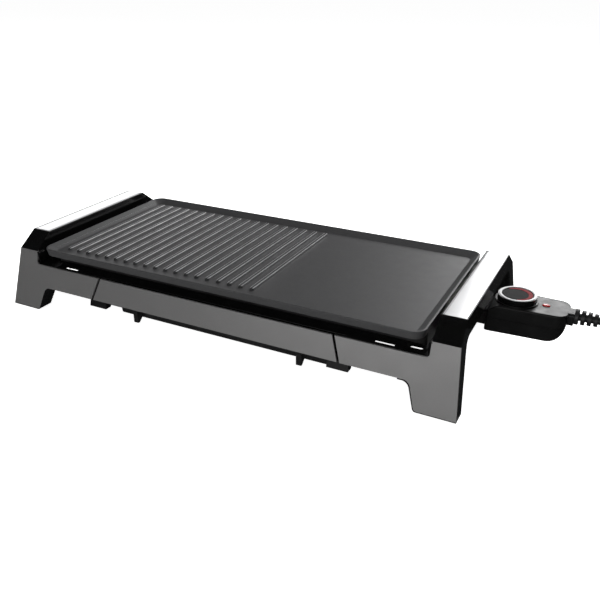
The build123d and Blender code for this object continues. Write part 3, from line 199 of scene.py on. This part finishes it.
class Finish:
    """A principled material whose colour, roughness and bump vary in object space."""

    def __init__(self, name):
        self.material = bpy.data.materials.new(name)
        self.material.use_nodes = True
        self.nodes = self.material.node_tree.nodes
        self.links = self.material.node_tree.links
        self.shader = self.nodes["Principled BSDF"]
        self.place = self.nodes.new("ShaderNodeTexCoord").outputs["Object"]
        self.normal = None

    def set(self, **values):
        """Sets the shader's own sockets; an underscore stands for a space in a socket's name."""
        for key, value in values.items():
            self.shader.inputs[key.replace("_", " ")].default_value = value
        return self

    def scaled(self, stretch):
        node = self.nodes.new("ShaderNodeMapping")
        node.inputs["Scale"].default_value = stretch
        self.links.new(self.place, node.inputs["Vector"])
        return node.outputs["Vector"]

    def noise(self, scale, detail=3.0, stretch=(1, 1, 1), rough=0.5):
        node = self.nodes.new("ShaderNodeTexNoise")
        node.inputs["Scale"].default_value = scale
        node.inputs["Detail"].default_value = detail
        node.inputs["Roughness"].default_value = rough
        self.links.new(self.scaled(stretch), node.inputs["Vector"])
        return node.outputs["Fac"]

    def cells(self, scale):
        """Distance to the nearest of a scatter of points, for specks."""
        node = self.nodes.new("ShaderNodeTexVoronoi")
        node.inputs["Scale"].default_value = scale
        self.links.new(self.place, node.inputs["Vector"])
        return node.outputs["Distance"]

    def remap(self, value, low_in, high_in, low_out, high_out):
        node = self.nodes.new("ShaderNodeMapRange")
        for socket, number in zip(
            ("From Min", "From Max", "To Min", "To Max"), (low_in, high_in, low_out, high_out)
        ):
            node.inputs[socket].default_value = number
        self.links.new(value, node.inputs["Value"])
        return node.outputs["Result"]

    def colours(self, value, low_colour, high_colour, low=0.35, high=0.65):
        """Colours the surface from one colour, where value is low, to another, where it is high."""
        node = self.nodes.new("ShaderNodeValToRGB")
        node.color_ramp.elements[0].position = low
        node.color_ramp.elements[1].position = high
        node.color_ramp.elements[0].color = (*low_colour, 1)
        node.color_ramp.elements[1].color = (*high_colour, 1)
        self.links.new(value, node.inputs["Fac"])
        self.links.new(node.outputs["Color"], self.shader.inputs["Base Color"])
        return node.outputs["Color"]

    def calc(self, operation, first, second=0.0):
        """One arithmetic node; first and second are numbers or sockets."""
        node = self.nodes.new("ShaderNodeMath")
        node.operation = operation
        for socket, value in zip(node.inputs, (first, second)):
            if isinstance(value, (int, float)):
                socket.default_value = value
            else:
                self.links.new(value, socket)
        return node.outputs["Value"]

    def thin_line_mask(self, lines_mm, half_width_mm):
        """1 within half a width of |x| = one of the lines, 0 elsewhere."""
        node = self.nodes.new("ShaderNodeSeparateXYZ")
        self.links.new(self.place, node.inputs["Vector"])
        across = self.calc("ABSOLUTE", node.outputs["X"])
        total = 0.0
        for line in lines_mm:
            away = self.calc("ABSOLUTE", self.calc("SUBTRACT", across, line * MM))
            total = self.calc("ADD", self.calc("LESS_THAN", away, half_width_mm * MM), total)
        return total

    def painted_rib_highlight_mask(self):
        """Painted highlight mask: RIB_EDGE_FAINTEST to 1 along both upper edges of each rib, and 0
        elsewhere.
        """
        node = self.nodes.new("ShaderNodeSeparateXYZ")
        self.links.new(self.place, node.inputs["Vector"])
        from_rib = self.calc("SUBTRACT", node.outputs["X"], RIB_START_MM * MM)
        wrapped = self.calc("PINGPONG", from_rib, RIB_PITCH_MM * MM / 2)
        to_edge = self.calc("ABSOLUTE", self.calc("SUBTRACT", wrapped, RIB_EDGE_MM * MM))
        near = self.calc("LESS_THAN", to_edge, RIB_EDGE_HALF_MM * MM)
        high = self.calc("GREATER_THAN", node.outputs["Z"], RIB_EDGE_LOW_MM * MM)
        ribbed = self.calc("LESS_THAN", node.outputs["X"], RIBS_END_MM * MM)
        inside = self.calc("LESS_THAN", self.calc("ABSOLUTE", node.outputs["Y"]), RIBS_HALF_Y_MM * MM)
        mask = self.remap(self.noise(scale=60, detail=4), *NOISE_RANGE, RIB_EDGE_FAINTEST, 1.0)
        for limit in (near, high, ribbed, inside):
            mask = self.calc("MULTIPLY", mask, limit)
        return mask

    def lighten(self, colour, mask, to):
        """Mixes the colour towards another where the mask is 1."""
        self.mix(colour, mask, to, "MIX")

    def darken(self, colour, mask, to):
        """Multiplies the colour by to where the mask is 1."""
        self.mix(colour, mask, (to, to, to), "MULTIPLY")

    def mix(self, colour, mask, to, blend):
        node = self.nodes.new("ShaderNodeMix")
        node.data_type = "RGBA"
        node.blend_type = blend
        sockets = [socket for socket in node.inputs if socket.type == "RGBA"]
        self.links.new(colour, sockets[0])
        sockets[1].default_value = (*to, 1)
        self.links.new(mask, node.inputs["Factor"])
        result = [socket for socket in node.outputs if socket.type == "RGBA"][0]
        self.links.new(result, self.shader.inputs["Base Color"])

    def roughness(self, value, low, high):
        spread = self.remap(value, *NOISE_RANGE, low, high)
        self.links.new(spread, self.shader.inputs["Roughness"])
        return self

    def bump(self, value, strength, distance_mm):
        node = self.nodes.new("ShaderNodeBump")
        node.inputs["Strength"].default_value = strength
        node.inputs["Distance"].default_value = distance_mm * MM
        self.links.new(value, node.inputs["Height"])
        if self.normal:
            self.links.new(self.normal, node.inputs["Normal"])
        self.normal = node.outputs["Normal"]
        self.links.new(self.normal, self.shader.inputs["Normal"])
        return self


# ------------------------------------------------------------------ finishes
# One for each of the record's material slots, and dial_red for the band on the dial.
STRIP_LINES_MM = (263.9, 285.1)
STRIP_LINE_HALF_MM = 0.3
RIB_START_MM = -227.0
RIB_PITCH_MM = 15.06
RIB_EDGE_MM = 1.95
RIB_EDGE_HALF_MM = 0.5
RIB_EDGE_LOW_MM = 76.4
RIB_EDGE_FAINTEST = 0.55
RIBS_END_MM = 50.0
RIBS_HALF_Y_MM = 102.0


def grey(level):
    """A grey with a trace of blue."""
    return (level, level, level * 1.02)


def gloss_black():
    f = Finish("gloss_black").set(Specular_IOR_Level=0.5)
    f.colours(f.noise(scale=14, detail=4), grey(0.0018), grey(0.003))
    f.roughness(f.noise(scale=30, detail=5), low=0.13, high=0.2)
    return f.bump(f.noise(scale=420, detail=2), strength=0.12, distance_mm=0.05)


def black_plastic():
    f = Finish("black_plastic").set(Specular_IOR_Level=0.22)
    f.colours(f.noise(scale=60, detail=4), grey(0.003), grey(0.005))
    f.roughness(f.noise(scale=90, detail=5), low=0.34, high=0.46)
    return f.bump(f.noise(scale=2600, detail=3), strength=0.35, distance_mm=0.04)


def grey_panel():
    f = Finish("grey_panel").set(Metallic=0.5, Specular_IOR_Level=0.5)
    f.colours(f.noise(scale=5200, detail=2, rough=0.8), (0.135, 0.134, 0.133), (0.19, 0.188, 0.187))
    f.roughness(f.noise(scale=40, detail=5), low=0.36, high=0.44)
    return f.bump(f.noise(scale=1500, detail=3), strength=0.12, distance_mm=0.03)


def top_aluminium():
    """Brushed metal, with a thin darker line where each long edge starts to fall away."""
    f = Finish("top_aluminium").set(Metallic=0.5)
    streaks = f.noise(scale=1.0, detail=5, stretch=(5200, 26, 5200), rough=0.7)
    brushed = f.colours(streaks, (0.66, 0.66, 0.67), (0.74, 0.74, 0.75))
    f.darken(brushed, f.thin_line_mask(STRIP_LINES_MM, STRIP_LINE_HALF_MM), 0.3)
    f.roughness(streaks, low=0.16, high=0.2)
    return f.bump(streaks, strength=0.03, distance_mm=0.01)


def nonstick():
    """Speckled dark coat, with a painted highlight, a bright metallic colour, along the ribs' upper
    edges.
    """
    f = Finish("nonstick").set(Specular_IOR_Level=0.5)
    specks = f.cells(900)
    coat = f.colours(specks, (0.08, 0.08, 0.083), (0.036, 0.036, 0.037), low=0.06, high=0.2)
    # Painted highlight: a bright metallic colour along the ribs' upper edges stands in for the light
    # they catch.
    painted_rib_highlight = f.painted_rib_highlight_mask()
    f.lighten(coat, painted_rib_highlight, (0.62, 0.62, 0.63))
    f.links.new(painted_rib_highlight, f.shader.inputs["Metallic"])
    f.roughness(f.noise(scale=70, detail=6), low=0.44, high=0.5)
    return f.bump(f.noise(scale=1900, detail=3), strength=0.3, distance_mm=0.04)


def pan_steel():
    f = Finish("pan_steel").set(Metallic=0.4)
    f.colours(f.noise(scale=25, detail=5), (0.012, 0.012, 0.013), (0.028, 0.027, 0.027))
    f.roughness(f.noise(scale=45, detail=5), low=0.3, high=0.5)
    return f.bump(f.noise(scale=380, detail=3), strength=0.2, distance_mm=0.08)


def heater_steel():
    f = Finish("heater_steel").set(Metallic=1.0)
    f.colours(f.noise(scale=34, detail=5), (0.09, 0.07, 0.065), (0.26, 0.23, 0.19))
    f.roughness(f.noise(scale=120, detail=4), low=0.35, high=0.55)
    return f.bump(f.noise(scale=1400, detail=3), strength=0.2, distance_mm=0.03)


def plain_steel():
    f = Finish("plain_steel").set(Metallic=1.0)
    f.colours(f.noise(scale=160, detail=4), (0.42, 0.42, 0.43), (0.6, 0.6, 0.6))
    f.roughness(f.noise(scale=220, detail=4), low=0.24, high=0.4)
    return f.bump(f.noise(scale=1800, detail=2), strength=0.12, distance_mm=0.02)


def contact_brass():
    f = Finish("contact_brass").set(Metallic=1.0)
    f.colours(f.noise(scale=120, detail=4), (0.5, 0.35, 0.14), (0.76, 0.58, 0.27))
    f.roughness(f.noise(scale=240, detail=4), low=0.25, high=0.42)
    return f.bump(f.noise(scale=1500, detail=2), strength=0.1, distance_mm=0.02)


def ceramic():
    f = Finish("ceramic").set(Specular_IOR_Level=0.4)
    f.colours(f.noise(scale=210, detail=5), (0.66, 0.63, 0.56), (0.8, 0.78, 0.72))
    f.roughness(f.noise(scale=300, detail=3), low=0.55, high=0.72)
    return f.bump(f.noise(scale=2200, detail=3), strength=0.25, distance_mm=0.04)


def foot_rubber():
    f = Finish("foot_rubber").set(Specular_IOR_Level=0.3)
    f.colours(f.noise(scale=110, detail=4), grey(0.012), grey(0.024))
    f.roughness(f.noise(scale=140, detail=4), low=0.7, high=0.85)
    return f.bump(f.noise(scale=1700, detail=3), strength=0.4, distance_mm=0.05)


def tray_black():
    f = Finish("tray_black").set(Metallic=0.2)
    f.colours(f.noise(scale=50, detail=5), grey(0.008), grey(0.014))
    f.roughness(f.noise(scale=60, detail=5), low=0.3, high=0.42)
    return f.bump(f.noise(scale=900, detail=3), strength=0.25, distance_mm=0.04)


def ring_silver():
    f = Finish("ring_silver").set(Metallic=0.35)
    f.colours(f.noise(scale=240, detail=3), (0.2, 0.2, 0.204), (0.25, 0.25, 0.254))
    f.roughness(f.noise(scale=300, detail=3), low=0.3, high=0.38)
    return f.bump(f.noise(scale=1200, detail=2), strength=0.06, distance_mm=0.02)


def dial_black():
    f = Finish("dial_black").set(IOR=1.04)
    f.colours(f.noise(scale=150, detail=4), grey(0.0015), grey(0.0025))
    f.roughness(f.noise(scale=200, detail=3), low=0.12, high=0.2)
    return f.bump(f.noise(scale=700, detail=2), strength=0.04, distance_mm=0.03)


def lens_red():
    f = Finish("lens_red").set(Transmission_Weight=0.35, IOR=1.49)
    f.colours(f.noise(scale=260, detail=3), (0.5, 0.018, 0.02), (0.7, 0.045, 0.045))
    f.roughness(f.noise(scale=400, detail=3), low=0.1, high=0.2)
    return f.bump(f.cells(1100), strength=0.15, distance_mm=0.05)


def dial_red():
    f = Finish("dial_red").set(IOR=1.06)
    f.colours(f.noise(scale=300, detail=3), (0.13, 0.006, 0.009), (0.2, 0.012, 0.016))
    f.roughness(f.noise(scale=300, detail=3), low=0.25, high=0.35)
    return f.bump(f.noise(scale=900, detail=2), strength=0.05, distance_mm=0.02)


def lamp_glass():
    f = Finish("lamp_glass").set(Transmission_Weight=0.9, IOR=1.5)
    f.colours(f.noise(scale=200, detail=3), (0.9, 0.55, 0.38), (0.95, 0.7, 0.55))
    f.roughness(f.noise(scale=300, detail=3), low=0.03, high=0.08)
    return f.bump(f.noise(scale=500, detail=2), strength=0.05, distance_mm=0.02)


def cord_rubber():
    f = Finish("cord_rubber").set(Specular_IOR_Level=0.4)
    f.colours(f.noise(scale=90, detail=4), grey(0.006), grey(0.011))
    f.roughness(f.noise(scale=160, detail=4), low=0.42, high=0.56)
    return f.bump(f.noise(scale=1600, detail=3), strength=0.3, distance_mm=0.05)


def inner_plastic():
    f = Finish("inner_plastic").set(Specular_IOR_Level=0.45)
    f.colours(f.noise(scale=80, detail=4), (0.2, 0.185, 0.155), (0.29, 0.27, 0.23))
    f.roughness(f.noise(scale=120, detail=4), low=0.45, high=0.6)
    return f.bump(f.noise(scale=1500, detail=3), strength=0.25, distance_mm=0.04)


FINISHES = {
    make.__name__: make().material
    for make in (
        gloss_black, black_plastic, grey_panel, top_aluminium, nonstick, pan_steel, heater_steel,
        plain_steel, contact_brass, ceramic, foot_rubber, tray_black, ring_silver, dial_black,
        dial_red, lens_red, lamp_glass, cord_rubber, inner_plastic,
    )
}


def paint(piece, finish):
    piece.data.materials.clear()
    piece.data.materials.append(FINISHES[finish])


for node_name, node in NODES.items():
    paint(node, SUBPARTS[node_name])
paint(lead, "cord_rubber")


# ------------------------------------------------------------------ dial markings
DIAL_FACE_MM = 86.6
ARC_STEPS = 72
ARC_FROM = -83.0
ARC_TO = 137.0
ARC_OUTER_R = 15.9
ARC_INNER_R = 15.3
ARC_SWELL = 4.0
ARC_SLOPE = 0.2
ARC_HIGH = 0.25


def make_heat_arc():
    """Raised red band round part of the dial face, widest at its middle."""
    low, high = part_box("dial_ring")
    centre = (low + high) / 2 / MM
    bm = bmesh.new()
    rings = []
    for step in range(ARC_STEPS + 1):
        share = step / ARC_STEPS
        angle = math.radians(ARC_FROM + (ARC_TO - ARC_FROM) * share)
        inner = ARC_INNER_R - ARC_SWELL * math.sin(math.pi * (0.1 + 0.8 * share))
        section = (
            (inner, 0.0),
            (inner + ARC_SLOPE, ARC_HIGH),
            (ARC_OUTER_R - ARC_SLOPE, ARC_HIGH),
            (ARC_OUTER_R, 0.0),
        )
        ring = []
        for radius, height in section:
            x = centre.x + radius * math.cos(angle)
            y = centre.y + radius * math.sin(angle)
            ring.append(bm.verts.new((x, y, DIAL_FACE_MM + height)))
        rings.append(ring)
    for ring, following in zip(rings, rings[1:]):
        for i in range(len(ring)):
            j = (i + 1) % len(ring)
            bm.faces.new((ring[i], ring[j], following[j], following[i]))
    bm.faces.new(rings[0])
    bm.faces.new(list(reversed(rings[-1])))
    arc = add_mesh("dial_heat_arc", bm, "dial")
    paint(arc, "dial_red")


make_heat_arc()


# ------------------------------------------------------------------ strain relief
RELIEF_START = 378.0
RELIEF_END = 424.0
RELIEF_RINGS = 7
RELIEF_PITCH = 6.3
RING_LONG = 4.2
RING_ROUND = 0.5
RELIEF_FIRST_R = 8.4
RELIEF_LAST_R = 5.2
RELIEF_CORE_R = 4.0
RELIEF_BORE_R = 3.3
RELIEF_LIP_LONG = 1.0
RELIEF_LIP_HIGH = 0.3
RELIEF_STEPS = 72


def make_strain_relief():
    """Rubber sleeve with a row of flexing rings that get smaller towards the lead."""
    outline = [(RELIEF_BORE_R, RELIEF_START)]
    for ring in range(RELIEF_RINGS):
        share = ring / (RELIEF_RINGS - 1)
        radius = RELIEF_FIRST_R + (RELIEF_LAST_R - RELIEF_FIRST_R) * share
        near = RELIEF_START + ring * RELIEF_PITCH
        far = near + RING_LONG
        outline += [
            (RELIEF_CORE_R, near),
            (radius - RING_ROUND, near),
            (radius, near + RING_ROUND),
            (radius, far - RING_ROUND),
            (radius - RING_ROUND, far),
            (RELIEF_CORE_R, far),
        ]
    outline += [
        (RELIEF_CORE_R + RELIEF_LIP_HIGH, RELIEF_END - RELIEF_LIP_LONG),
        (RELIEF_CORE_R, RELIEF_END),
        (RELIEF_BORE_R, RELIEF_END),
    ]
    low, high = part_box("strain_relief")
    axis_z = (low.z + high.z) / 2 / MM
    bm = bmesh.new()
    turn_about_x(bm, outline, axis_z, RELIEF_STEPS)
    relief = add_mesh("relief_sleeve", bm, "thermostat")
    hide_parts("strain_relief")
    paint(relief, "cord_rubber")


make_strain_relief()


# ------------------------------------------------------------------ softened edges on CAD nodes
BEVELS_MM = {
    "left_end_housing": 0.3,
    "right_end_housing": 0.3,
    "left_front_panel": 0.35,
    "right_front_panel": 0.35,
    "left_rear_panel": 0.35,
    "right_rear_panel": 0.35,
    "rear_centre_panel": 0.35,
    "tray_front_panel": 0.35,
    "left_top_strip": 0.3,
    "right_top_strip": 0.3,
    "tray_front_carrier": 0.4,
    "front_rail": 0.4,
    "rear_rail": 0.4,
    "controller_upper_shell": 0.4,
    "controller_lower_shell": 0.4,
    "plug_body": 0.4,
    "cooking_plate": 0.5,
}
WELD_MM = 0.02
BEVEL_STEPS = 2
BEVEL_FROM_ANGLE = 30


def soften(node, width_mm):
    """Rounds the node's edges a little, so that they catch the light."""
    weld = node.modifiers.new("weld", "WELD")
    weld.merge_threshold = WELD_MM * MM
    bevel = node.modifiers.new("bevel", "BEVEL")
    bevel.width = width_mm * MM
    bevel.segments = BEVEL_STEPS
    bevel.limit_method = "ANGLE"
    bevel.angle_limit = math.radians(BEVEL_FROM_ANGLE)
    bevel.harden_normals = True
    shade = node.modifiers.new("normals", "WEIGHTED_NORMAL")
    shade.keep_sharp = True


for node_name, width in BEVELS_MM.items():
    soften(NODES[node_name], width)


# ------------------------------------------------------------------ stage and light
FLOOR_HALF = 40.0
FLOOR_GAP = 0.00005
BACKDROP_R = 38.0
PALE_LOW = (0.86, 0.86, 0.86)
PALE_HIGH = (0.88, 0.88, 0.88)


def pale_mesh(name, bm, glow, cloud_scale):
    """A pale glowing object, not part of the griddle, that gloss doesn't mirror."""
    mesh = bpy.data.meshes.new(name)
    bm.to_mesh(mesh)
    bm.free()
    piece = bpy.data.objects.new(name, mesh)
    piece.visible_glossy = False
    bpy.context.scene.collection.objects.link(piece)
    f = Finish(name).set(Roughness=0.9, Emission_Color=(1, 1, 1, 1), Emission_Strength=glow)
    f.colours(f.noise(scale=cloud_scale, detail=2), PALE_LOW, PALE_HIGH)
    mesh.materials.append(f.material)
    return piece


def make_floor():
    """The surface that the griddle stands on, just below z = 0."""
    bm = bmesh.new()
    bmesh.ops.create_grid(bm, x_segments=1, y_segments=1, size=FLOOR_HALF)
    floor = pale_mesh("floor", bm, glow=0.96, cloud_scale=3)
    floor.location = (0, 0, -FLOOR_GAP)


def make_backdrop():
    """A dome over the floor that only the camera sees: it neither lights nor shades."""
    bm = bmesh.new()
    bmesh.ops.create_icosphere(bm, subdivisions=4, radius=BACKDROP_R)
    backdrop = pale_mesh("backdrop", bm, glow=1.0, cloud_scale=0.3)
    backdrop.visible_diffuse = False
    backdrop.visible_shadow = False


LIGHTS_AIM = (0, 0, 0.08)
WORLD_COLOUR = (0.95, 0.97, 1.0, 1)
WORLD_STRENGTH = 0.025


def softbox(name, azimuth, elevation, distance, size, radiance, mirrored=True):
    """A light panel facing the object; azimuth is in degrees from +Y towards +X."""
    data = bpy.data.lights.new(name, "AREA")
    data.shape = "RECTANGLE"
    data.size, data.size_y = size
    data.energy = radiance * math.pi * size[0] * size[1]
    light = bpy.data.objects.new(name, data)
    round_z = math.radians(azimuth)
    up = math.radians(elevation)
    away = Vector((
        math.sin(round_z) * math.cos(up),
        math.cos(round_z) * math.cos(up),
        math.sin(up),
    ))
    light.location = Vector(LIGHTS_AIM) + away * distance
    light.rotation_euler = away.to_track_quat("Z", "Y").to_euler()
    light.visible_camera = False
    light.visible_glossy = mirrored
    bpy.context.scene.collection.objects.link(light)


def light_scene():
    world = bpy.data.worlds.new("studio")
    world.use_nodes = True
    background = world.node_tree.nodes["Background"]
    background.inputs["Color"].default_value = WORLD_COLOUR
    background.inputs["Strength"].default_value = WORLD_STRENGTH
    bpy.context.scene.world = world
    # The sheen on the right of the plate and on the thermostat's top.
    softbox(
        "back_right_box", azimuth=19, elevation=27, distance=2.5, size=(1.9, 1.1),
        radiance=8.8,
    )
    # Small ones for the two aluminium strips.
    softbox(
        "right_strip_box", azimuth=-15, elevation=24, distance=2.5, size=(0.42, 0.6),
        radiance=0.6,
    )
    softbox(
        "left_strip_box", azimuth=-47, elevation=17, distance=2.5, size=(1.0, 0.6),
        radiance=1.7,
    )
    # For the painted panels.
    softbox(
        "front_box", azimuth=183, elevation=10, distance=2.6, size=(1.9, 1.0),
        radiance=3.6,
    )
    # Lights the coats but isn't mirrored in the gloss black.
    softbox(
        "overhead_fill", azimuth=0, elevation=88, distance=2.0, size=(2.0, 2.0),
        radiance=2.9, mirrored=False,
    )


make_floor()
make_backdrop()
light_scene()
bpy.context.scene.view_settings.view_transform = "Standard"

bpy.context.view_layer.update()
